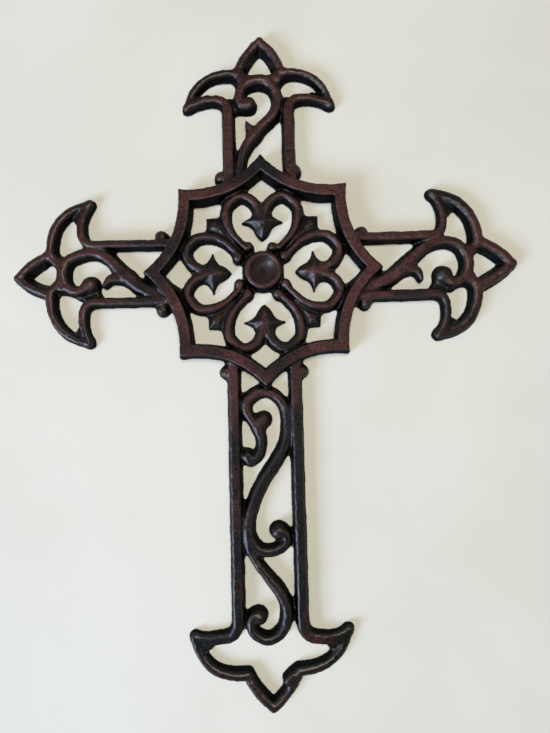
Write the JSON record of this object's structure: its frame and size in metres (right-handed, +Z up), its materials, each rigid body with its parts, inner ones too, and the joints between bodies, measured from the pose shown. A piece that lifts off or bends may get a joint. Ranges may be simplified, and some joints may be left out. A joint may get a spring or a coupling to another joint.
{
  "type": "wall cross",
  "caption": "Pierced cast iron wall cross: flared finials with scrollwork arms around a pointed star frame that holds a rosette of hearts and a dished boss.",
  "frame": {"origin": "centre of the star on the flat back of the boss", "axes": "+Z up along the shaft towards the top finial, +X to the viewer's right, +Y out of the flat back into the wall"},
  "size_m": [0.262, 0.0104, 0.3481],
  "materials": {
    "cast_iron": "satin dark brown patina, slightly grainy"
  },
  "bodies": {
    "root": {"cross_casting": "cast_iron"}
  },
  "joints": []
}
